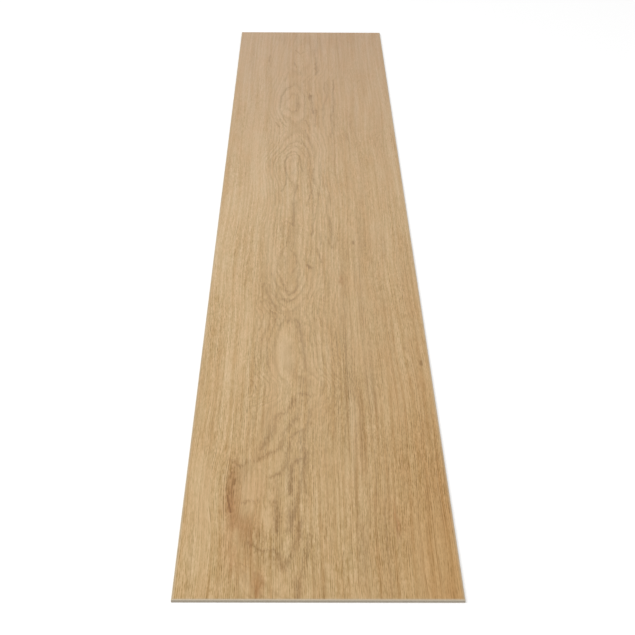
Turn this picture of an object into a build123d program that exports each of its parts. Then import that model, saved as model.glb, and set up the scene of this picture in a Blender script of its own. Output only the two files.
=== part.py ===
"""Glue-down vinyl floor plank: one flat sheet pressed and cut as a single piece.

Frame: +X across the width, +Y along the length, +Z up out of the wear face.
The origin is the centre of the back face, which is the face that gets the glue.
"""

import os

from build123d import *

# Driving dimensions in millimetres
plank_length = 1219.2
plank_width = 177.8
plank_thickness = 2.0
edge_bevel = 0.4  # each leg of the 45 degree micro-bevel round the wear face

# The plank: a square-cut blank with the four edges of its wear face bevelled
with BuildPart() as plank:
    with BuildSketch(Plane.XY):
        Rectangle(plank_width, plank_length)
    extrude(amount=plank_thickness)
    wear_face = plank.faces().sort_by(Axis.Z)[-1]
    chamfer(wear_face.edges(), length=edge_bevel)

plank.part.label = "plank"

os.makedirs("parts", exist_ok=True)
export_step(plank.part, "parts/plank.step")
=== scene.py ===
import math

import bmesh
import bpy
from mathutils import Matrix, Vector


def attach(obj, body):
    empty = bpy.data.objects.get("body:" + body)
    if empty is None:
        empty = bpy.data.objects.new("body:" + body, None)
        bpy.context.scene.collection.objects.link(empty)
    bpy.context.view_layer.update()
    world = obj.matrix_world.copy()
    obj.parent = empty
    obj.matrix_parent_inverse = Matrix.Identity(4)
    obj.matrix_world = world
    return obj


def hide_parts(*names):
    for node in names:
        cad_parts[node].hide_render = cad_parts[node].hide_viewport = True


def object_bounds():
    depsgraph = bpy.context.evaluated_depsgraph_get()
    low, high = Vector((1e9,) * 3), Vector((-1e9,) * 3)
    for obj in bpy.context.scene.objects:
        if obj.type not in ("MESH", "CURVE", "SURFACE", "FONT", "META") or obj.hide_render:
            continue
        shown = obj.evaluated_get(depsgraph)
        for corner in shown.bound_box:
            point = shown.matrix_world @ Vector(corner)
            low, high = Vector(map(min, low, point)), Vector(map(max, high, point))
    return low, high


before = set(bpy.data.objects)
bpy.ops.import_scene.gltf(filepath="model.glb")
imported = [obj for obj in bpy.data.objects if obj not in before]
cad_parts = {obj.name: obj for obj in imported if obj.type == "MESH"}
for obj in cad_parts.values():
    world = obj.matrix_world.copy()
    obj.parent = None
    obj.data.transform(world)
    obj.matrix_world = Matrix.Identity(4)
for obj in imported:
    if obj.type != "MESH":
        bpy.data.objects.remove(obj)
cadLow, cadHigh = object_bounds()
mm = 0.001
print("frame loaded, CAD box", [round(side / mm, 2) for side in cadHigh - cadLow], "mm")


# sRGB hex to the linear values that shader sockets take
def toLinear(hexCode):
    channels = [int(hexCode[i:i + 2], 16) / 255 for i in (1, 3, 5)]
    return [c / 12.92 if c <= 0.04045 else ((c + 0.055) / 1.055) ** 2.4 for c in channels] + [1.0]


# Adds one node: settings are its properties, values go to its live inputs in order as links or numbers
def addNode(tree, kind, settings, *values):
    node = tree.nodes.new(kind)
    for name, value in settings.items():
        if name == "curve":
            points = node.mapping.curves[0].points
            for i, place in enumerate(value):
                if i < 2:
                    points[i].location = place
                else:
                    points.new(*place)
            node.mapping.update()
        else:
            setattr(node, name, value)
    liveInputs = [socket for socket in node.inputs if socket.enabled]
    for socket, value in zip(liveInputs, values):
        if isinstance(value, bpy.types.NodeSocket):
            tree.links.new(value, socket)
        else:
            socket.default_value = value
    return next(socket for socket in node.outputs if socket.enabled)


# Starts a material with its object coordinates in millimetres
def startMaterial(name):
    material = bpy.data.materials.new(name)
    material.use_nodes = True
    tree = material.node_tree
    tree.nodes.clear()
    coords = tree.nodes.new("ShaderNodeTexCoord").outputs["Object"]
    return material, tree, addNode(tree, "ShaderNodeVectorMath", {"operation": "SCALE"}, coords, 1 / mm)


# Links the finished colour, roughness and height to a plain PVC surface; height is in metres
def finishMaterial(tree, colour, roughness, height):
    bsdf = tree.nodes.new("ShaderNodeBsdfPrincipled")
    bsdf.inputs["IOR"].default_value = 1.5
    bump = tree.nodes.new("ShaderNodeBump")
    bump.inputs["Distance"].default_value = 1.0
    tree.links.new(height, bump.inputs["Height"])
    tree.links.new(colour, bsdf.inputs["Base Color"])
    tree.links.new(roughness, bsdf.inputs["Roughness"])
    tree.links.new(bump.outputs["Normal"], bsdf.inputs["Normal"])
    output = tree.nodes.new("ShaderNodeOutputMaterial")
    tree.links.new(bsdf.outputs[0], output.inputs["Surface"])


# The oak decor, in millimetres of the plank: x across, y along, both from its middle
oakDecor = {
    "halfWidth": cadHigh.x / mm,
    "halfLength": cadHigh.y / mm,
    "nearGround": "#DEBF92",
    "middleGround": "#DFC29A",
    # the far ground is darker and pinker: painted shade of the light falling off towards the far end
    "farGroundInPaintedShade": "#CDAE8C",
    # fibres as (width across, length along), coarser than real pores of about 0.3 mm, then broader streaks
    "fibres": {"fibre": (1.2, 15), "tick": (0.95, 5), "streak": (1.4, 80), "pores": (1.1, 240)},
    "stripes": {"stripe": (2.2, 220), "band": (14, 420)},
    # soft blotches as (size across, size along), and how far some of them push the grain or the drawing
    "blotches": {
        "wander": (60, 260), "uneven": (5, 70), "ripple": (10, 36), "kink": (4, 9), "crisp": (22, 130),
        "warmth": (9, 45),
    },
    "pushes": {"wander": 4.0, "uneven": 2.4, "ripple": 1.5, "kink": 1.0, "feather": 0.9},
    # strokes stand in the middle of their lanes: (lane from, to), then the noise along the lane (from, to)
    "fineStrokes": ((0.1, 0.45), (0.35, 0.7)),
    "dashStrokes": ((0.05, 0.35), (0.35, 0.65)),
    "longLevels": {"stripe": (0.35, 0.75), "pores": (0.35, 0.8)},
    "zoneLevel": (0.45, 0.75),
    "noiseSpan": (0.3, 0.7),  # most values of soft noise lie in it
    "crisp": (0.65, 1.2),  # share of the fine fibres in faint and in crisp zones
    # changes from the near end to the far end: (from, to) as shares of the length, then the strength at each
    "alongFades": {
        "fine": (0.0, 1.0, 1.0, 0.3),
        "long": (0.2, 0.8, 1.0, 0.4),
        "band": (0.15, 0.42, 1.0, 0.0),
        "core": (0.1, 0.42, 0.92, 0.5),
        "unbroken": (0.15, 0.6, 0.65, 1.0),
    },
    # how much ink drawn bands and dark patches take beside the short pores and in them
    "speckles": {"band": (0.25, 0.85), "smudge": (0.85, 1.15)},
    "breakLevel": 0.6,  # cores of drawn lines are whole where short pores are stronger than this
    # how far edges fray along the grain, and how many half widths the ink of a stroke or patch reaches
    "frays": {"line": 3.5, "knot": 1.5, "patch": 20.0},
    "spreads": {"core": 1.8, "band": 3.4, "knot": 1.7, "patch": 1.3},
    "knotPlace": (-58, -487),
    "knotReach": (26, 80),  # the grain parts round the knot as far as this
    "knotParting": 0.4,
    "goldenSide": (-30, 55),  # the wood turns darker from here to there, across the plank
    "ringWidth": 3.3,  # growth rings as they show beside the cathedrals
    "ringShift": 0.4,  # uneven ring widths, in rings
    "ringPace": 0.7,  # how soon they change from ring to ring
    "ringWeights": (0.3, 1.0),  # of the faintest and the strongest ring
    "ringProfile": [(0, 0.0), (1, 0.0), (0.12, 0.5), (0.26, 1.0), (0.45, 0.5), (0.75, 0.06)],
    # the rings fade out across the plank: (from, to), left from the middle and right from the heart, then the
    # strength at each
    "ringFades": {"left": (-58, -44, 0.0, 1.0), "right": (25, 55, 1.0, 0.3)},
    "paleShare": 0.5,
    "milky": "#C0AC8E",
    "milkyBorder": 2.2,
    "milkyShare": 0.7,
    "roughness": (0.46, 0.56),
    "poreDepth": 0.006,
    # layers of ink in printing order: the range of the pattern that takes it, its strength and its colour
    "inks": {
        "warmth": (0.35, 0.7, 0.22, "#FFE8D0"),
        "goldenSide": (0.0, 1.0, 0.16, "#D9C390"),
        "goldMarks": (0.0, 1.0, 0.65, "#F2DAA2"),
        "band": (0.3, 0.7, 0.22, "#D9C390"),
        "longStripe": (0.0, 1.0, 0.4, "#D9C38C"),
        "longPores": (0.0, 1.0, 0.3, "#D2C38A"),
        "fineStreak": (0.0, 1.0, 0.6, "#CEC080"),
        "zonePores": (0.0, 1.0, 0.5, "#C4B080"),
        "fineTick": (0.0, 1.0, 0.76, "#CABE7C"),
        "fineFibre": (0.0, 1.0, 0.9, "#CABE7C"),
        "rings": (0.0, 1.0, 0.75, "#BEAC76"),
        "figureLines": (0.0, 1.0, 0.8, "#B8A25E"),
        "smudges": (0.0, 1.0, 0.5, "#B8A67A"),
        "warmMarks": (0.0, 1.0, 0.8, "#D2A44E"),
        "knotBody": (0.0, 1.0, 0.5, "#CCA23A"),
        "knotEdges": (0.0, 1.0, 0.8, "#BEA41E"),
    },
    # lowest and highest value that each of the next four lists may hold
    "listRanges": {"heartLine": (-60, 20), "heartDepth": (0, 40), "knotPull": (0, 1), "figure": (0, 1)},
    # where the heart of the cathedral figure lies across the plank, from the near end to the far end: (y, x)
    "heartLine": [
        (-610, -17), (-575, -21), (-545, -19), (-445, -19), (-425, -18), (-385, -15), (-362, -10),
        (-345, -8), (-325, -15), (-290, -21), (-255, -20), (-228, -18), (-200, -22), (-150, -21),
        (-110, -20), (-40, -19), (40, -16), (128, -20), (190, -15), (240, -16), (331, -22), (392, -21),
        (440, -14), (505, -10), (610, -4),
    ],
    # how deep the tree's heart lies under the face, low at each eye of the figure and high where its arches
    # cross: (y, depth)
    "heartDepth": [
        (-610, 28), (-575, 24.2), (-558, 23.8), (-545, 23.5), (-515, 21.8), (-480, 21.3), (-445, 21.3),
        (-425, 21.4), (-385, 21.3), (-362, 21), (-345, 20.8), (-325, 20.6), (-290, 20.8), (-255, 22.2),
        (-228, 24), (-220, 25), (-212, 23.5), (-197, 21), (-182, 18.5), (-165, 15.8), (-150, 13.8),
        (-110, 12.5), (-60, 11), (0, 11), (80, 11), (100, 9.5), (125, 8.4), (150, 9.5), (160, 12.5),
        (172, 15.7), (190, 19), (215, 22.5), (240, 24.5), (285, 21), (331, 18.9), (370, 22.2), (392, 24),
        (415, 25), (435, 24), (505, 22), (570, 24), (610, 26),
    ],
    # the knot pulls the rings on its side away from the heart: (y, how close they stay)
    "knotPull": [
        (-610, 0.9), (-575, 0.6), (-558, 0.22), (-545, 0.2), (-515, 0.28), (-480, 0.31), (-445, 0.46),
        (-425, 0.57), (-385, 0.55), (-362, 0.9), (-340, 1), (610, 1),
    ],
    # how strongly the ring lines are printed: (y, strength)
    "figure": [
        (-610, 0.45), (-560, 0.4), (-440, 0.4), (-360, 0.45), (-310, 0.55), (-240, 0.6), (-180, 0.52),
        (-100, 0.47), (60, 0.52), (120, 0.55), (200, 0.52), (260, 0.48), (331, 0.44), (420, 0.36),
        (505, 0.25), (610, 0.3),
    ],
    # figure lines drawn over the rings, far end first, each (half width, strength, points along it)
    "drawnLines": [
        (1.0, 0.8, [(-19, 530), (-14, 513), (-9, 522)]),
        (1.0, 1.0, [(5, 501), (5, 464), (6, 429)]),
        (0.9, 0.8, [(-20, 480), (-18, 456)]),
        (0.9, 0.8, [(-50, 509), (-51, 480)]),
        (1.1, 0.7, [(16, 402), (14, 380), (18, 352), (14, 325), (11, 301)]),
        (1.2, 0.7, [(25, 410), (26, 385), (24, 352), (26, 320), (21, 280), (23, 250), (19, 212)]),
        (1.0, 0.8, [(-22, 386), (-29, 379), (-34, 346), (-36, 307)]),
        (0.9, 0.9, [(-16, 325), (-18, 297)]),
        (1.0, 1.0, [(-1, 343), (0, 325), (1, 290)]),
        (1.1, 0.9, [(5, 301), (4, 244)]),
        (0.9, 1.0, [(-34, 287), (-28, 257)]),
        (0.9, 1.0, [(-36, 270), (-32, 253), (-28, 244)]),
        (0.9, 1.0, [(-40, 260), (-36, 244)]),
        (0.8, 1.0, [(-8, 267), (-4, 244)]),
        (0.8, 0.8, [(-8, 234), (-5, 215), (0, 178), (1, 151)]),
        (0.8, 0.7, [(-16, 221), (-11, 203), (-2, 151)]),
        (0.9, 0.7, [(-31, 163), (-26, 181), (-19, 187), (-11, 169), (-7, 148)]),
        (0.8, 0.9, [(-29, 134), (-26, 157), (-22, 169), (-18, 166), (-13, 151), (-10, 108)]),
        (0.8, 0.8, [(-16, 134), (-15, 111)]),
        (0.9, 1.0, [(-28, 142), (-26, 92), (-27, 75), (-31, 56)]),
        (0.9, 1.0, [(1, 117), (0, 97), (1, 75)]),
        (0.8, 0.8, [(7, 137), (7, 81), (4, 20), (0, -29), (-2, -52)]),
        (0.9, 0.9, [(-15, 73), (-17, 54), (-19, 20), (-18, -5), (-19, -31)]),
        (0.8, 0.8, [(-1, 59), (-3, 41), (-6, 18)]),
        (1.0, 0.7, [(16, 54), (13, 7), (16, -31), (15, -64)]),
        (1.2, 0.7, [(-30, -43), (-29, -24), (-24, -19), (-19, -31)]),
        (1.2, 0.9, [(6, -48), (7, -75)]),
        (1.2, 1.0, [(3, -84), (5, -100), (7, -115)]),
        (1.2, 0.7, [(11, -55), (16, -82)]),
        (1.4, 1.0, [(-6, -119), (-4, -125), (-1, -125)]),
        (1.3, 0.7, [(-25, -78), (-30, -93), (-31, -113), (-29, -130)]),
        (1.3, 0.7, [(-21, -84), (-16, -100), (-15, -121), (-18, -134)]),
        (1.2, 1.0, [(-32, -134), (-28, -151), (-21, -181), (-17, -175), (-14, -161), (-13, -130)]),
        (1.1, 0.75, [(-37, -138), (-29, -177), (-26, -189), (-22, -194), (-17, -188)]),
        (1.1, 0.65, [(-39, -159), (-33, -187), (-29, -196), (-24, -206)]),
        (1.1, 0.65, [(-43, -157), (-40, -177), (-31, -210), (-28, -217)]),
        (1.1, 0.6, [(-40, -191), (-29, -227)]),
        (1.1, 0.8, [(-15, -228), (-12, -236), (-9, -290), (-8, -318)]),
        (1.1, 0.7, [(-36, -212), (-30, -238)]),
        (1.6, 0.9, [(-4, -355), (-8, -353), (-12, -352)]),
        (1.5, 0.8, [(-16, -361), (-21, -381), (-28, -384), (-31, -408), (-38, -433)]),
        (1.4, 0.8, [(-13, -386), (-23, -412), (-25, -432), (-31, -436), (-41, -449)]),
        (1.3, 0.8, [(-9, -406), (-13, -409), (-17, -418), (-20, -437)]),
        (1.1, 0.35, [(-5, -360), (-4, -385), (-6, -405)]),
        (1.3, 0.9, [(-9, -406), (-11, -425), (-8, -441), (-10, -461), (-10, -474), (-11, -488), (-14, -502)]),
        (1.2, 0.8, [(-20, -437), (-21, -452), (-24, -465), (-32, -470)]),
        (1.3, 1.0, [(-10, -446), (-14, -448), (-18, -462), (-17, -475), (-18, -492)]),
        (1.6, 0.8, [(-13, -499), (-17, -536)]),
        (1.3, 0.7, [(-28, -501), (-25, -514), (-27, -535)]),
        (1.4, 0.9, [(-26, -560), (-21, -578), (-17, -560), (-12, -539), (-11, -525)]),
        (1.2, 0.7, [(-44, -549), (-37, -558), (-28, -556), (-26, -560)]),
        (1.1, 0.8, [(-13, -608), (-8, -566), (-5, -540)]),
        (1.1, 0.6, [(-58, -448), (-54, -456), (-50, -457), (-47, -448)]),
        (1.0, 0.6, [(-49, -503), (-45, -499), (-40, -502)]),
    ],
    # the knot: its red-brown body, then the dark ring edges in it and the pin knots
    "knotBody": [
        (3.5, 1.0, [(-57, -465), (-58, -478), (-58, -494), (-57, -512)]),
        (7.8, 0.4, [(-56, -464), (-57, -484), (-56, -512)]),
        (5.0, 0.75, [(-53, -519), (-52, -530)]),
    ],
    "knotEdges": [
        (0.6, 0.6, [(-58, -465), (-60, -472), (-61, -484), (-60, -496)]),
        (0.7, 1.0, [(-60, -493), (-59, -500), (-57, -514)]),
        (1.0, 0.8, [(-56, -473), (-56, -480)]),
        (0.7, 0.4, [(-57, -482), (-58, -490)]),
        (1.4, 0.7, [(-1, 352), (-1, 346)]),
        (1.2, 0.4, [(36, -67), (36, -73)]),
        (1.4, 0.6, [(82, -300), (82, -306)]),
        (1.3, 0.5, [(-5, -120), (-3, -124)]),
    ],
    # patches of colour, each (x, y, half width, half length, strength)
    "darkMarks": [
        (5.5, 525, 6, 26, 0.6), (7, 465, 2, 48, 0.5), (-30, 419, 1.5, 9, 0.6), (-1.5, 349, 2.2, 9, 1.0),
        (2.5, 295, 4.5, 16, 0.4), (-18, 318, 3, 26, 0.3), (19.5, 385, 1.5, 32, 0.4),
        (25, 372, 1.5, 34, 0.4), (23, 315, 1.8, 34, 0.4), (13, 285, 2, 10, 0.5), (41, 260, 5, 50, 0.35),
        (37, 215, 3, 20, 0.35), (-20, 142, 3.5, 8, 0.45), (-20, 104, 3.5, 8, 0.4), (12, 72, 3.5, 11, 0.4),
        (17, 42, 2.4, 8, 0.4), (16, -40, 3.5, 26, 0.35), (20, -68, 4.5, 16, 0.35), (36, -70, 2, 7, 0.8),
        (46, -74, 1.5, 7, 0.6), (-4, -122, 2.4, 7, 0.7), (-24, -108, 5.5, 18, 0.35),
        (-27, -50, 3, 18, 0.35), (-23, -229, 4.5, 6, 0.4), (-36, -303, 1.5, 12, 0.5),
        (26, -263, 2.4, 14, 0.4), (71, -275, 1.8, 7, 0.6), (82, -303, 2.2, 6, 1.0),
        (-6, -325, 3.5, 8, 0.4), (-13, -446, 3.5, 7, 0.6), (-27, -478, 4, 18, 0.4),
        (-17, -517, 4, 22, 0.9), (-27, -517, 3.2, 22, 0.8), (-18, -470, 3, 30, 0.5),
        (-13, -601, 3.8, 12, 0.7), (42, -330, 5, 60, 0.3), (48, 300, 5, 130, 0.3), (24, 290, 3, 70, 0.25),
        (-32, 350, 5, 70, 0.35), (8, 560, 11, 45, 0.35), (40, -150, 5, 120, 0.3),
        (-50, -472, 4, 40, 0.35), (-76, 430, 4, 70, 0.2), (60, -50, 5, 60, 0.25),
        (25, -170, 4.5, 110, 0.4), (27, -420, 5, 120, 0.3), (28, -560, 4.5, 60, 0.55),
        (43, -75, 4, 55, 0.4), (63, -85, 4, 50, 0.5), (22, 170, 3, 70, 0.35), (-72, 470, 4, 110, 0.3),
        (-35, 580, 5, 30, 0.4), (-18, 585, 4, 30, 0.4),
    ],
    "warmMarks": [
        (-56, -515, 8, 75, 0.45), (-46, -533, 12, 26, 0.6), (-48, -575, 13, 28, 0.25),
        (-57, -454, 6, 13, 0.4), (-45, -524, 6, 17, 0.5), (-46, -541, 4.5, 14, 0.45),
        (-56, -552, 4, 18, 0.4), (-53, -571, 3, 20, 0.5), (-46, -557, 4, 12, 0.3),
        (-37, -594, 5.5, 22, 0.75), (52, -528, 2, 22, 0.7), (23, -155, 3, 12, 0.45),
        (-43, -488, 14, 50, 0.22),
    ],
    "paleMarks": [
        (-24, -290, 6, 45, 0.5), (3, 110, 3, 40, 0.5), (-26, 500, 5, 45, 0.5), (-24, 455, 3.5, 24, 0.4),
        (-20, -165, 5, 12, 0.4), (5, 340, 2.4, 12, 0.5), (-33, 272, 2.4, 16, 0.4),
        (-50, -385, 4, 45, 0.4), (-66, 60, 10, 200, 0.15), (-12, -300, 22, 330, 0.2),
        (-33, -519, 4, 18, 0.5), (-22, -548, 4, 14, 0.4), (-11, -420, 5, 90, 0.4),
        (-24, -592, 6, 22, 0.6), (-45, -593, 6, 16, 0.6), (-62, -593, 5, 14, 0.5), (28, -390, 4, 60, 0.4),
        (-42, -50, 3, 100, 0.35), (-76, -500, 12, 90, 0.5), (-37, -105, 6, 70, 0.5),
        (-31, -340, 5, 90, 0.6), (11, -290, 4, 45, 0.5), (0, 205, 5, 65, 0.5),
    ],
    "goldMarks": [
        (88, -520, 48, 260, 0.8), (88, -280, 30, 180, 0.35), (-86, 350, 8, 260, 0.2),
        (44, 230, 34, 400, 0.2), (0, 460, 55, 330, 0.25),
    ],
    # where long dark pores show, and where the fibres are fainter
    "stripeZones": [
        (38, -480, 17, 240, 0.9), (22, -330, 10, 160, 0.7), (64, -560, 10, 120, 0.5),
        (-2, -560, 8, 60, 0.6), (-78, -560, 10, 90, 0.6), (40, -130, 18, 220, 0.5),
    ],
    "calmMarks": [(-43, -488, 13, 48, 0.6), (-24, -290, 9, 55, 0.5), (-33, -520, 6, 22, 0.5)],
}


# Soft noise in blotches of this size across and along
def blotchNoise(tree, place, size, detail):
    across, along = size
    stretched = addNode(tree, "ShaderNodeVectorMath", {"operation": "MULTIPLY"}, place,
                        (1 / across, 1 / along, 0))
    return addNode(tree, "ShaderNodeTexNoise", {"noise_dimensions": "2D"}, stretched, 1.0, detail)


# Streaks along the grain, from fine fibres to broad bands, on coordinates that wander and part round the knot
def grainStreaks(tree, place, x, y):
    slow = blotchNoise(tree, place, oakDecor["blotches"]["wander"], 1.0)
    reach = oakDecor["pushes"]["wander"]
    wander = addNode(tree, "ShaderNodeMapRange", {"clamp": False}, slow, 0.0, 1.0, -reach, reach)
    knotX, knotY = oakDecor["knotPlace"]
    reachX, reachY = oakDecor["knotReach"]
    fromKnot = addNode(tree, "ShaderNodeVectorMath", {"operation": "MULTIPLY_ADD"}, place,
                       (1 / reachX, 1 / reachY, 0), (-knotX / reachX, -knotY / reachY, 0))
    distance = addNode(tree, "ShaderNodeVectorMath", {"operation": "LENGTH"}, fromKnot)
    parting = addNode(tree, "ShaderNodeMapRange", {"interpolation_type": "SMOOTHSTEP"}, distance,
                      0.0, 1.0, -oakDecor["knotParting"], 0.0)
    besideKnot = addNode(tree, "ShaderNodeMath", {"operation": "SUBTRACT"}, x, knotX)
    bend = addNode(tree, "ShaderNodeMath", {"operation": "MULTIPLY_ADD"}, besideKnot, parting, wander)
    grainX = addNode(tree, "ShaderNodeMath", {"operation": "ADD"}, x, bend)
    uneven = blotchNoise(tree, place, oakDecor["blotches"]["uneven"], 1.0)
    laneX = addNode(tree, "ShaderNodeMath", {"operation": "MULTIPLY_ADD"}, uneven,
                    oakDecor["pushes"]["uneven"], grainX)
    streaks = {}
    for name, (across, along) in oakDecor["fibres"].items():
        lane = addNode(tree, "ShaderNodeMath", {"operation": "DIVIDE"}, laneX, across)
        streaks[name + "Lane"] = addNode(tree, "ShaderNodeMath", {"operation": "PINGPONG"}, lane, 0.5)
        column = addNode(tree, "ShaderNodeMath", {"operation": "FLOOR"}, lane)
        luck = addNode(tree, "ShaderNodeTexWhiteNoise", {"noise_dimensions": "1D"}, column)
        length = addNode(tree, "ShaderNodeMath", {"operation": "DIVIDE"}, y, along)
        # each lane reads its own stretch of the noise
        length = addNode(tree, "ShaderNodeMath", {"operation": "MULTIPLY_ADD"}, luck, 1000.0, length)
        streaks[name] = addNode(tree, "ShaderNodeTexNoise", {"noise_dimensions": "1D"}, length, 1.0, 1.0)
    grainPlace = addNode(tree, "ShaderNodeCombineXYZ", {}, grainX, y, 0.0)
    for name, size in oakDecor["stripes"].items():
        streaks[name] = blotchNoise(tree, grainPlace, size, 1.0)
    return grainX, streaks


# Strokes in the middle of their lanes, where the noise along the lane is high
def laneStrokes(tree, streaks, name, ranges, strength):
    lane, level = ranges
    inLane = addNode(tree, "ShaderNodeMapRange", {}, streaks[name + "Lane"], *lane, 0.0, strength)
    return addNode(tree, "ShaderNodeMapRange", {}, streaks[name], *level, 0.0, inLane)


# A value that was given at places along the plank, from a list of (y, value)
def alongPlank(tree, along, name):
    half = oakDecor["halfLength"]
    low, high = oakDecor["listRanges"][name]
    shares = [((y + half) / (2 * half), (value - low) / (high - low)) for y, value in oakDecor[name]]
    curve = addNode(tree, "ShaderNodeFloatCurve", {"curve": shares}, 1.0, along)
    return addNode(tree, "ShaderNodeMapRange", {}, curve, 0.0, 1.0, low, high)


# Growth rings cut by the face: each ring is one distance from the tree's heart
def ringLines(tree, x, along, grainX, streaks, ripple):
    heartX = alongPlank(tree, along, "heartLine")
    depth = alongPlank(tree, along, "heartDepth")
    pull = alongPlank(tree, along, "knotPull")
    beside = addNode(tree, "ShaderNodeMath", {"operation": "SUBTRACT"}, grainX, heartX)
    leftSide = addNode(tree, "ShaderNodeMath", {"operation": "MINIMUM"}, beside, 0.0)
    leftSide = addNode(tree, "ShaderNodeMath", {"operation": "MULTIPLY"}, leftSide, pull)
    rightSide = addNode(tree, "ShaderNodeMath", {"operation": "MAXIMUM"}, beside, 0.0)
    pulled = addNode(tree, "ShaderNodeMath", {"operation": "ADD"}, leftSide, rightSide)
    offset = addNode(tree, "ShaderNodeCombineXYZ", {}, pulled, depth, 0.0)
    radius = addNode(tree, "ShaderNodeVectorMath", {"operation": "LENGTH"}, offset)
    radius = addNode(tree, "ShaderNodeMath", {"operation": "ADD"}, radius, ripple)
    reach = oakDecor["pushes"]["feather"]
    feather = addNode(tree, "ShaderNodeMapRange", {"clamp": False}, streaks["pores"], 0.0, 1.0, -reach, reach)
    radius = addNode(tree, "ShaderNodeMath", {"operation": "ADD"}, radius, feather)
    ring = addNode(tree, "ShaderNodeMath", {"operation": "DIVIDE"}, radius, oakDecor["ringWidth"])
    ringStep = addNode(tree, "ShaderNodeTexNoise", {"noise_dimensions": "1D"}, ring,
                       oakDecor["ringPace"], 0.0)
    shift = oakDecor["ringShift"]
    ringShift = addNode(tree, "ShaderNodeMapRange", {"clamp": False}, ringStep, 0.0, 1.0, -shift, shift)
    ring = addNode(tree, "ShaderNodeMath", {"operation": "ADD"}, ring, ringShift)
    phase = addNode(tree, "ShaderNodeMath", {"operation": "FRACT"}, ring)
    ringNumber = addNode(tree, "ShaderNodeMath", {"operation": "FLOOR"}, ring)
    ringLuck = addNode(tree, "ShaderNodeTexWhiteNoise", {"noise_dimensions": "1D"}, ringNumber)
    weight = addNode(tree, "ShaderNodeMapRange", {}, ringLuck, 0.0, 1.0, *oakDecor["ringWeights"])
    line = addNode(tree, "ShaderNodeFloatCurve", {"curve": oakDecor["ringProfile"]}, 1.0, phase)
    fades = oakDecor["ringFades"]
    leftFade = addNode(tree, "ShaderNodeMapRange", {"interpolation_type": "SMOOTHSTEP"}, x, *fades["left"])
    rightFade = addNode(tree, "ShaderNodeMapRange", {"interpolation_type": "SMOOTHSTEP"}, beside,
                        *fades["right"])
    strength = alongPlank(tree, along, "figure")
    for factor in (weight, leftFade, rightFade, strength):
        line = addNode(tree, "ShaderNodeMath", {"operation": "MULTIPLY"}, line, factor)
    return line


# Starts a node group that gives one number: hands back the group, its inputs and the socket for the number
def inkGroup(name, inputs):
    group = bpy.data.node_groups.new(name, "ShaderNodeTree")
    for inputName, kind in inputs:
        group.interface.new_socket(inputName, in_out="INPUT", socket_type=kind)
    group.interface.new_socket("ink", in_out="OUTPUT", socket_type="NodeSocketFloat")
    return group, group.nodes.new("NodeGroupInput").outputs, group.nodes.new("NodeGroupOutput").inputs[0]


# Distance from a place to one straight run of a line
def runGroup():
    group, inputs, output = inkGroup("distance_to_run", [
        ("place", "NodeSocketVector"), ("start", "NodeSocketVector"), ("run", "NodeSocketVector")])
    place, start, run = inputs[:3]
    fromStart = addNode(group, "ShaderNodeVectorMath", {"operation": "SUBTRACT"}, place, start)
    length = addNode(group, "ShaderNodeVectorMath", {"operation": "DOT_PRODUCT"}, run, run)
    share = addNode(group, "ShaderNodeVectorMath", {"operation": "DOT_PRODUCT"}, fromStart, run)
    share = addNode(group, "ShaderNodeMath", {"operation": "DIVIDE"}, share, length)
    share = addNode(group, "ShaderNodeMath", {"operation": "MAXIMUM"}, share, 0.0)
    share = addNode(group, "ShaderNodeMath", {"operation": "MINIMUM"}, share, 1.0)
    foot = addNode(group, "ShaderNodeVectorMath", {"operation": "SCALE"}, run, share)
    distance = addNode(group, "ShaderNodeVectorMath", {"operation": "DISTANCE"}, fromStart, foot)
    group.links.new(distance, output)
    return group


# A soft oval patch
def patchGroup():
    group, inputs, output = inkGroup("oval_patch", [
        ("place", "NodeSocketVector"), ("middle", "NodeSocketVector"), ("size", "NodeSocketVector"),
        ("strength", "NodeSocketFloat")])
    place, middle, size, strength = inputs[:4]
    local = addNode(group, "ShaderNodeVectorMath", {"operation": "SUBTRACT"}, place, middle)
    local = addNode(group, "ShaderNodeVectorMath", {"operation": "DIVIDE"}, local, size)
    reach = addNode(group, "ShaderNodeVectorMath", {"operation": "LENGTH"}, local)
    bell = addNode(group, "ShaderNodeMapRange", {"interpolation_type": "SMOOTHSTEP", "clamp": False}, reach,
                   0.0, oakDecor["spreads"]["patch"], strength, 0.0)
    group.links.new(bell, output)
    return group


# Drawn lines: ink falls off with the distance to the nearest run of each line, once for each spread
def drawnInk(tree, place, lines, group, spreads):
    inks = [0.0] * len(spreads)
    for halfWidth, strength, points in lines:
        nearest = 2 * oakDecor["halfLength"]
        for (startX, startY), (endX, endY) in zip(points, points[1:]):
            reach = addNode(tree, "ShaderNodeGroup", {"node_tree": group}, place, (startX, startY, 0),
                            (endX - startX, endY - startY, 0))
            nearest = addNode(tree, "ShaderNodeMath", {"operation": "MINIMUM"}, nearest, reach)
        for i, spread in enumerate(spreads):
            stroke = addNode(tree, "ShaderNodeMapRange", {"interpolation_type": "SMOOTHSTEP", "clamp": False},
                             nearest, 0.0, halfWidth * spread, strength, 0.0)
            inks[i] = addNode(tree, "ShaderNodeMath", {"operation": "MAXIMUM"}, inks[i], stroke)
    return inks


# Listed patches, each a soft oval
def placedInk(tree, place, patches, group):
    ink = 0.0
    for patchX, patchY, halfWidth, halfLength, strength in patches:
        patch = addNode(tree, "ShaderNodeGroup", {"node_tree": group}, place, (patchX, patchY, 0),
                        (halfWidth, halfLength, 1), strength)
        ink = addNode(tree, "ShaderNodeMath", {"operation": "MAXIMUM"}, ink, patch)
    return ink


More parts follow.
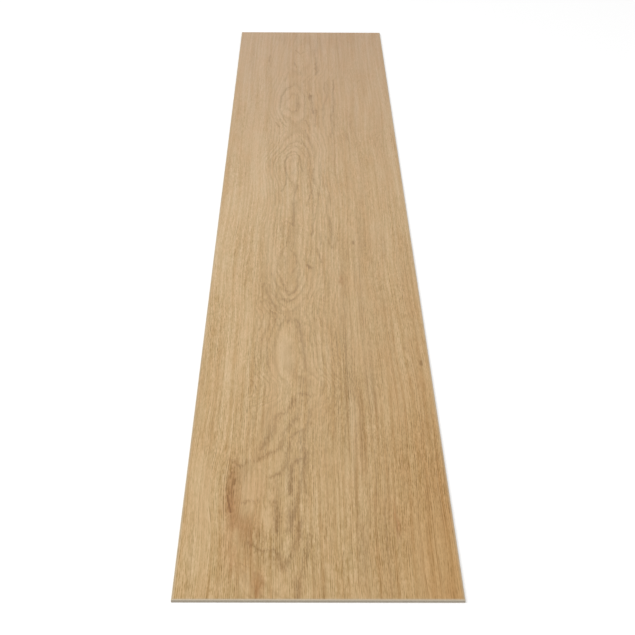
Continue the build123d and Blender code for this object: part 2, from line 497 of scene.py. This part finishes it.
# Places for the drawn lines, the knot and the patches: they waver, and their edges fray along the grain
def frayedPlaces(tree, place, x, y, streaks, ripple):
    kinks = blotchNoise(tree, place, oakDecor["blotches"]["kink"], 1.0)
    reach = oakDecor["pushes"]["kink"]
    kink = addNode(tree, "ShaderNodeMapRange", {"clamp": False}, kinks, 0.0, 1.0, -reach, reach)
    swayX = addNode(tree, "ShaderNodeMath", {"operation": "ADD"}, x, ripple)
    swayX = addNode(tree, "ShaderNodeMath", {"operation": "ADD"}, swayX, kink)
    frayed = {}
    for name, reach in oakDecor["frays"].items():
        fray = addNode(tree, "ShaderNodeMapRange", {"clamp": False}, streaks["pores"],
                       0.0, 1.0, -reach, reach)
        frayY = addNode(tree, "ShaderNodeMath", {"operation": "ADD"}, y, fray)
        frayX = x if name == "knot" else swayX
        frayed[name] = addNode(tree, "ShaderNodeCombineXYZ", {}, frayX, frayY, 0.0)
    return frayed


# Near the front the figure's lines are bands of short dark pores round a thin core, further off only the core
def figureInk(tree, fades, cores, bands, dashes):
    speckled = addNode(tree, "ShaderNodeMapRange", {}, dashes, 0.0, 1.0, *oakDecor["speckles"]["band"])
    bandInk = addNode(tree, "ShaderNodeMath", {"operation": "MULTIPLY"}, bands, speckled)
    bandInk = addNode(tree, "ShaderNodeMath", {"operation": "MULTIPLY"}, bandInk, fades["band"])
    broken = addNode(tree, "ShaderNodeMapRange", {}, dashes, 0.0, oakDecor["breakLevel"],
                     fades["unbroken"], 1.0)
    coreInk = addNode(tree, "ShaderNodeMath", {"operation": "MULTIPLY"}, cores, broken)
    coreInk = addNode(tree, "ShaderNodeMath", {"operation": "MULTIPLY"}, coreInk, fades["core"])
    return addNode(tree, "ShaderNodeMath", {"operation": "MAXIMUM"}, coreInk, bandInk)


# The pale ground under the inks, from the near end to the far end; it turns darker and pinker towards the far
# end, which is painted shade of the light falling off there
def groundToneWithPaintedShade(tree, along):
    near, middle, far = [toLinear(oakDecor[name]) for name in ("nearGround", "middleGround", "farGroundInPaintedShade")]
    nearHalf = addNode(tree, "ShaderNodeMapRange", {}, along, 0.0, 0.5, 0.0, 1.0)
    farHalf = addNode(tree, "ShaderNodeMapRange", {}, along, 0.5, 1.0, 0.0, 1.0)
    ground = addNode(tree, "ShaderNodeMix", {"data_type": "RGBA"}, nearHalf, near, middle)
    return addNode(tree, "ShaderNodeMix", {"data_type": "RGBA"}, farHalf, ground, far)


# Oak printed on PVC film, under a clear PVC wear layer that was pressed with a matt grain plate: the print
# shows warm and even through it, and the pressed pores break its soft gloss
def oakPrint():
    material, tree, place = startMaterial("oak_print_under_matt_pvc_wear_layer")
    half = oakDecor["halfLength"]
    split = tree.nodes.new("ShaderNodeSeparateXYZ")
    tree.links.new(place, split.inputs[0])
    x, y = split.outputs[0], split.outputs[1]
    along = addNode(tree, "ShaderNodeMapRange", {}, y, -half, half, 0.0, 1.0)
    fades = {}
    for name, ends in oakDecor["alongFades"].items():
        fades[name] = addNode(tree, "ShaderNodeMapRange", {}, along, *ends)
    grainX, streaks = grainStreaks(tree, place, x, y)
    wave = blotchNoise(tree, place, oakDecor["blotches"]["ripple"], 2.0)
    reach = oakDecor["pushes"]["ripple"]
    ripple = addNode(tree, "ShaderNodeMapRange", {"clamp": False}, wave, 0.0, 1.0, -reach, reach)
    patterns = {"band": streaks["band"]}
    patterns["rings"] = ringLines(tree, x, along, grainX, streaks, ripple)
    patterns["warmth"] = blotchNoise(tree, place, oakDecor["blotches"]["warmth"], 2.0)
    patterns["goldenSide"] = addNode(tree, "ShaderNodeMapRange", {"interpolation_type": "SMOOTHSTEP"}, x,
                                     *oakDecor["goldenSide"], 0.0, 1.0)

    # what was drawn
    frayed = frayedPlaces(tree, place, x, y, streaks, ripple)
    runs, patches, spreads = runGroup(), patchGroup(), oakDecor["spreads"]
    cores, bands = drawnInk(tree, frayed["line"], oakDecor["drawnLines"], runs,
                            [spreads["core"], spreads["band"]])
    for name in ("knotBody", "knotEdges"):
        patterns[name] = drawnInk(tree, frayed["knot"], oakDecor[name], runs, [spreads["knot"]])[0]
    for name in ("darkMarks", "warmMarks", "paleMarks", "goldMarks", "stripeZones", "calmMarks"):
        patterns[name] = placedInk(tree, frayed["patch"], oakDecor[name], patches)
    dashes = [laneStrokes(tree, streaks, name, oakDecor["dashStrokes"], 1.0) for name in ("fibre", "tick")]
    dashes = addNode(tree, "ShaderNodeMath", {"operation": "MAXIMUM"}, *dashes)
    patterns["figureLines"] = figureInk(tree, fades, cores, bands, dashes)
    speckled = addNode(tree, "ShaderNodeMapRange", {}, dashes, 0.0, 1.0, *oakDecor["speckles"]["smudge"])
    patterns["smudges"] = addNode(tree, "ShaderNodeMath", {"operation": "MULTIPLY"}, patterns["darkMarks"],
                                  speckled)

    # the finest fibres blur together towards the far end, and are crisp in some zones and faint in others
    zones = blotchNoise(tree, place, oakDecor["blotches"]["crisp"], 1.0)
    crisp = addNode(tree, "ShaderNodeMapRange", {}, zones, *oakDecor["noiseSpan"], *oakDecor["crisp"])
    fineShare = addNode(tree, "ShaderNodeMath", {"operation": "MULTIPLY"}, fades["fine"], crisp)
    calm = addNode(tree, "ShaderNodeMath", {"operation": "SUBTRACT"}, 1.0, patterns["calmMarks"])
    fineShare = addNode(tree, "ShaderNodeMath", {"operation": "MULTIPLY"}, fineShare, calm)
    for name in ("fibre", "tick", "streak"):
        strokes = laneStrokes(tree, streaks, name, oakDecor["fineStrokes"], fineShare)
        patterns["fine" + name.capitalize()] = strokes

    # the long streaks are calmer towards the far end, and some zones have dark long pores
    calmer = addNode(tree, "ShaderNodeMath", {"operation": "MULTIPLY"}, fades["long"], calm)
    for name, level in oakDecor["longLevels"].items():
        strokes = addNode(tree, "ShaderNodeMapRange", {}, streaks[name], *level, 0.0, calmer)
        patterns["long" + name.capitalize()] = strokes
    zonePores = addNode(tree, "ShaderNodeMapRange", {}, streaks["pores"], *oakDecor["zoneLevel"], 0.0, 1.0)
    patterns["zonePores"] = addNode(tree, "ShaderNodeMath", {"operation": "MULTIPLY"}, zonePores,
                                    patterns["stripeZones"])

    # each layer of ink darkens the pale ground
    ground = groundToneWithPaintedShade(tree, along)
    tone = ground
    for name, (low, high, strength, ink) in oakDecor["inks"].items():
        amount = addNode(tree, "ShaderNodeMapRange", {}, patterns[name], low, high, 0.0, strength)
        tone = addNode(tree, "ShaderNodeMix", {"data_type": "RGBA", "blend_type": "MULTIPLY"},
                       amount, tone, toLinear(ink))
    pale = addNode(tree, "ShaderNodeMath", {"operation": "MULTIPLY"}, patterns["paleMarks"],
                   oakDecor["paleShare"])
    tone = addNode(tree, "ShaderNodeMix", {"data_type": "RGBA"}, pale, tone, ground)

    # the clear wear layer is milky where it was pressed down towards the bevel
    for side, reach in ((x, oakDecor["halfWidth"]), (y, half)):
        fromMiddle = addNode(tree, "ShaderNodeMath", {"operation": "ABSOLUTE"}, side)
        milky = addNode(tree, "ShaderNodeMapRange", {"interpolation_type": "SMOOTHSTEP"}, fromMiddle,
                        reach - oakDecor["milkyBorder"], reach, 0.0, oakDecor["milkyShare"])
        tone = addNode(tree, "ShaderNodeMix", {"data_type": "RGBA"}, milky, tone, toLinear(oakDecor["milky"]))

    # pores are a little deeper than the fibres between them, and broad stripes are duller
    roughness = addNode(tree, "ShaderNodeMapRange", {}, streaks["stripe"], *oakDecor["noiseSpan"],
                        *oakDecor["roughness"])
    sunk = addNode(tree, "ShaderNodeMath", {"operation": "ADD"}, patterns["fineFibre"],
                   patterns["fineStreak"])
    height = addNode(tree, "ShaderNodeMath", {"operation": "MULTIPLY"}, sunk, -oakDecor["poreDepth"] * mm)
    finishMaterial(tree, tone, roughness, height)
    return material


# Calendered PVC filled with chalk: matt grey-beige with pale specks of filler, and fine marks where it was
# cut or sanded; speck is the size of the marks in millimetres along x, y and z
bodyVinyl = {
    "wear_layer_bevel": {
        "dark": "#CBBCA3", "pale": "#E0D2B9", "speck": (0.5, 6, 0.5), "rough": (0.45, 0.6),
    },
    "die_cut_filled_vinyl": {
        "dark": "#ADA18E", "pale": "#C0B4A1", "speck": (0.7, 0.7, 4), "rough": (0.55, 0.75),
    },
    "sanded_vinyl_back": {
        "dark": "#9C9284", "pale": "#B0A698", "speck": (0.6, 14, 1), "rough": (0.65, 0.85),
    },
}
chalkFiller = {
    "grain": 0.4,  # mm, coarser than real chalk so that it shows
    "height": 0.03,
    "range": (0.7, 1.3),
}


def filledVinyl(name):
    look = bodyVinyl[name]
    material, tree, place = startMaterial(name)
    stretched = addNode(tree, "ShaderNodeVectorMath", {"operation": "DIVIDE"}, place, look["speck"])
    marks = addNode(tree, "ShaderNodeTexNoise", {}, stretched, 1.0, 2.0)
    grit = addNode(tree, "ShaderNodeTexNoise", {}, place, 1 / chalkFiller["grain"], 2.0)
    mixed = addNode(tree, "ShaderNodeMath", {"operation": "ADD"}, marks, grit)
    share = addNode(tree, "ShaderNodeMapRange", {}, mixed, *chalkFiller["range"], 0.0, 1.0)
    colour = addNode(tree, "ShaderNodeMix", {"data_type": "RGBA"}, share, toLinear(look["dark"]),
                     toLinear(look["pale"]))
    smooth, rough = look["rough"]
    roughness = addNode(tree, "ShaderNodeMapRange", {}, share, 0.0, 1.0, rough, smooth)
    height = addNode(tree, "ShaderNodeMath", {"operation": "MULTIPLY"}, share, chalkFiller["height"] * mm)
    finishMaterial(tree, colour, roughness, height)
    return material


plankPiece = {
    "bevel": 0.4,  # this and the other lengths are in mm
    "slack": 0.01,  # a point this near the wear face counts as on it
    "wearCuts": (99, 2),  # the wear face is cut into 100 strips each way, and each strip then into 3
    "poreDepth": 0.03,  # pressed grain
    "poreLevel": (0.4, 0.8),
    "poreShares": {"fibre": 0.6, "streak": 0.4},
    "plainBorder": 2.0,  # the pressed grain fades out this near the bevel
    "kinds": ("wearFace", "bevel", "edge", "back"),  # faces, in the order of their materials
    # places on the bake square: left, bottom, width, height
    "bakePlaces": {
        "wearFace": (0.01, 0.01, 0.83, 0.98),
        "back": (0.86, 0.12, 0.04, 0.87),
        "leftEdge": (0.915, 0.12, 0.01, 0.87),
        "leftBevel": (0.935, 0.12, 0.01, 0.87),
        "rightEdge": (0.955, 0.12, 0.01, 0.87),
        "rightBevel": (0.975, 0.12, 0.01, 0.87),
        "nearEdge": (0.86, 0.01, 0.13, 0.01),
        "nearBevel": (0.86, 0.03, 0.13, 0.01),
        "farEdge": (0.86, 0.05, 0.13, 0.01),
        "farBevel": (0.86, 0.07, 0.13, 0.01),
    },
}


# Which kind of face this is, from the way it faces
def faceKind(normal):
    if normal.z > 0.9:
        return "wearFace"
    if normal.z > 0.1:
        return "bevel"
    return "edge" if normal.z > -0.9 else "back"


# Selects the wear face in edit mode
def selectWearFace(plank):
    bpy.ops.mesh.select_mode(type="FACE")
    bpy.ops.mesh.select_all(action="DESELECT")
    mesh = bmesh.from_edit_mesh(plank.data)
    for face in mesh.faces:
        face.select_set(faceKind(face.normal) == "wearFace")
    bmesh.update_edit_mesh(plank.data)


# Presses the pores into the wear face, in register with the printed ones
def pressGrain(plank):
    tree = bpy.data.node_groups.new("pressed_grain", "GeometryNodeTree")
    tree.interface.new_socket("plank", in_out="INPUT", socket_type="NodeSocketGeometry")
    tree.interface.new_socket("plank", in_out="OUTPUT", socket_type="NodeSocketGeometry")
    shape = tree.nodes.new("NodeGroupInput").outputs[0]
    position = tree.nodes.new("GeometryNodeInputPosition").outputs[0]
    place = addNode(tree, "ShaderNodeVectorMath", {"operation": "SCALE"}, position, 1 / mm)
    split = tree.nodes.new("ShaderNodeSeparateXYZ")
    tree.links.new(place, split.inputs[0])
    x, y, z = split.outputs
    streaks = grainStreaks(tree, place, x, y)[1]
    pores = [addNode(tree, "ShaderNodeMapRange", {}, streaks[name], *plankPiece["poreLevel"], 0.0, share)
             for name, share in plankPiece["poreShares"].items()]
    depth = addNode(tree, "ShaderNodeMath", {"operation": "ADD"}, *pores)
    slack = plankPiece["slack"]
    faceHeight = cadHigh.z / mm
    top = addNode(tree, "ShaderNodeMapRange", {}, z, faceHeight - 2 * slack, faceHeight - slack, 0.0, 1.0)
    depth = addNode(tree, "ShaderNodeMath", {"operation": "MULTIPLY"}, depth, top)
    border = plankPiece["plainBorder"]
    for side, reach in ((x, cadHigh.x / mm), (y, cadHigh.y / mm)):
        fromMiddle = addNode(tree, "ShaderNodeMath", {"operation": "ABSOLUTE"}, side)
        edge = reach - plankPiece["bevel"]
        fade = addNode(tree, "ShaderNodeMapRange", {}, fromMiddle, edge - border, edge - slack, 1.0, 0.0)
        depth = addNode(tree, "ShaderNodeMath", {"operation": "MULTIPLY"}, depth, fade)
    drop = addNode(tree, "ShaderNodeMath", {"operation": "MULTIPLY"}, depth, -plankPiece["poreDepth"] * mm)
    offset = addNode(tree, "ShaderNodeCombineXYZ", {}, 0.0, 0.0, drop)
    move = tree.nodes.new("GeometryNodeSetPosition")
    tree.links.new(shape, move.inputs["Geometry"])
    tree.links.new(offset, move.inputs["Offset"])
    tree.links.new(move.outputs[0], tree.nodes.new("NodeGroupOutput").inputs[0])
    press = plank.modifiers.new("pressed_grain", "NODES")
    press.node_group = tree
    bpy.ops.object.modifier_apply(modifier=press.name)


# Lays the wear face over most of the bake square, and the back, edges and bevels in strips beside it
def layBakeMap(plank):
    bakeMap = plank.data.uv_layers.new(name="OFBake")
    size = cadHigh - cadLow
    for face in plank.data.polygons:
        normal = face.normal
        name = faceKind(normal)
        axes = (0, 1)
        if name in ("edge", "bevel"):
            if abs(normal.x) > abs(normal.y):
                side = "right" if normal.x > 0 else "left"
                axes = (2, 1)
            else:
                side = "far" if normal.y > 0 else "near"
                axes = (0, 2)
            name = side + name.capitalize()
        left, bottom, width, height = plankPiece["bakePlaces"][name]
        for loop in face.loop_indices:
            point = plank.data.vertices[plank.data.loops[loop].vertex_index].co
            shareX, shareY = [(point[axis] - cadLow[axis]) / size[axis] for axis in axes]
            bakeMap.data[loop].uv = (left + width * shareX, bottom + height * shareY)


def modelPlank():
    bpy.ops.object.select_all(action="DESELECT")
    bpy.ops.mesh.primitive_cube_add(size=1, location=(cadLow + cadHigh) / 2)
    plank = bpy.context.object
    plank.name = "oak_vinyl_plank"
    plank.scale = cadHigh - cadLow
    bpy.ops.object.transform_apply(location=True, rotation=True, scale=True)
    bpy.ops.object.mode_set(mode="EDIT")
    bpy.ops.mesh.select_mode(type="EDGE")
    bpy.ops.mesh.select_all(action="DESELECT")
    mesh = bmesh.from_edit_mesh(plank.data)
    faceHeight = cadHigh.z - plankPiece["slack"] * mm
    for edge in mesh.edges:
        edge.select_set(all(corner.co.z > faceHeight for corner in edge.verts))
    bmesh.update_edit_mesh(plank.data)
    bpy.ops.mesh.bevel(offset=plankPiece["bevel"] * mm, segments=1, affect="EDGES")
    for cuts in plankPiece["wearCuts"]:
        selectWearFace(plank)
        bpy.ops.mesh.subdivide(number_cuts=cuts)
    bpy.ops.object.mode_set(mode="OBJECT")
    plank.data.materials.append(oakPrint())
    for name in bodyVinyl:
        plank.data.materials.append(filledVinyl(name))
    print("materials made")
    for face in plank.data.polygons:
        face.material_index = plankPiece["kinds"].index(faceKind(face.normal))
    layBakeMap(plank)
    pressGrain(plank)
    bpy.ops.object.shade_smooth_by_angle(angle=math.radians(30))
    return plank


plank = modelPlank()
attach(plank, "root")
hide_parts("plank")
print("plank modelled")


studio = {
    "floorSize": 12.0,
    "floorDrop": 0.1 * mm,  # keeps the floor clear of the plank's back
    "floorPaint": "#F1F1F1",
    "floorLift": 0.3,  # makes the floor white where it is seen, and casts no light
    "white": "#FFFFFF",
    "worldLight": 0.62,
    "keyPower": 22.0,
    "keyPlace": (-1.4, -0.5, 1.9),
    "keyAim": (0, -0.1, 0),
    "keySize": (1.2, 1.6),
}


# One for rays that end in the eye, straight, mirrored or through something clear, and nought for other light
def seenRays(tree):
    rays = tree.nodes.new("ShaderNodeLightPath").outputs
    seen = addNode(tree, "ShaderNodeMath", {"operation": "MAXIMUM"}, rays["Is Camera Ray"],
                   rays["Is Glossy Ray"])
    return addNode(tree, "ShaderNodeMath", {"operation": "MAXIMUM"}, seen, rays["Is Transmission Ray"])


def layFloor():
    bpy.ops.object.select_all(action="DESELECT")
    height = cadLow.z - studio["floorDrop"]
    bpy.ops.mesh.primitive_plane_add(size=studio["floorSize"], location=(0, 0, height))
    floor = bpy.context.object
    floor.name = "studio_floor"
    material = bpy.data.materials.new("white_studio_floor")
    material.use_nodes = True
    tree = material.node_tree
    tree.nodes.clear()
    lift = addNode(tree, "ShaderNodeMath", {"operation": "MULTIPLY"}, seenRays(tree), studio["floorLift"])
    paint = addNode(tree, "ShaderNodeBsdfDiffuse", {}, toLinear(studio["floorPaint"]))
    glow = addNode(tree, "ShaderNodeEmission", {}, toLinear(studio["white"]), lift)
    both = addNode(tree, "ShaderNodeAddShader", {}, paint, glow)
    output = tree.nodes.new("ShaderNodeOutputMaterial")
    tree.links.new(both, output.inputs["Surface"])
    floor.data.materials.append(material)


def lightStudio():
    world = bpy.data.worlds.new("studio")
    bpy.context.scene.world = world
    world.use_nodes = True
    tree = world.node_tree
    tree.nodes.clear()
    strength = addNode(tree, "ShaderNodeMapRange", {}, seenRays(tree), 0.0, 1.0, studio["worldLight"], 1.0)
    sky = addNode(tree, "ShaderNodeBackground", {}, toLinear(studio["white"]), strength)
    output = tree.nodes.new("ShaderNodeOutputWorld")
    tree.links.new(sky, output.inputs["Surface"])
    bpy.ops.object.light_add(type="AREA", location=studio["keyPlace"])
    key = bpy.context.object
    key.name = "key_softbox"
    key.data.shape = "RECTANGLE"
    key.data.size, key.data.size_y = studio["keySize"]
    key.data.energy = studio["keyPower"]
    aim = Vector(studio["keyAim"]) - key.location
    key.rotation_euler = aim.to_track_quat("-Z", "Y").to_euler()


photoCamera = {
    "lens": 90.319,
    "sensor": 36.0,
    "stand": Vector((-10.36, -1396.43, 578.60)) * mm,
    "pitch": 26.1823,  # degrees below the horizon
    "yaw": 0.6226,  # degrees to the right of the plank's length
    "roll": 0.4371,
}


def setCamera():
    camera = bpy.data.objects.new("photo_camera", bpy.data.cameras.new("photo_camera"))
    bpy.context.scene.collection.objects.link(camera)
    camera.data.lens = photoCamera["lens"]
    camera.data.sensor_width = photoCamera["sensor"]
    yaw, pitch, roll = [math.radians(photoCamera[turn]) for turn in ("yaw", "pitch", "roll")]
    camera.matrix_world = (
        Matrix.Translation(photoCamera["stand"])
        @ Matrix.Rotation(-yaw, 4, "Z")
        @ Matrix.Rotation(math.pi / 2 - pitch, 4, "X")
        @ Matrix.Rotation(roll, 4, "Z")
    )
    bpy.context.scene.camera = camera


layFloor()
lightStudio()
setCamera()
bpy.context.scene.view_settings.view_transform = "Standard"
print("studio set")
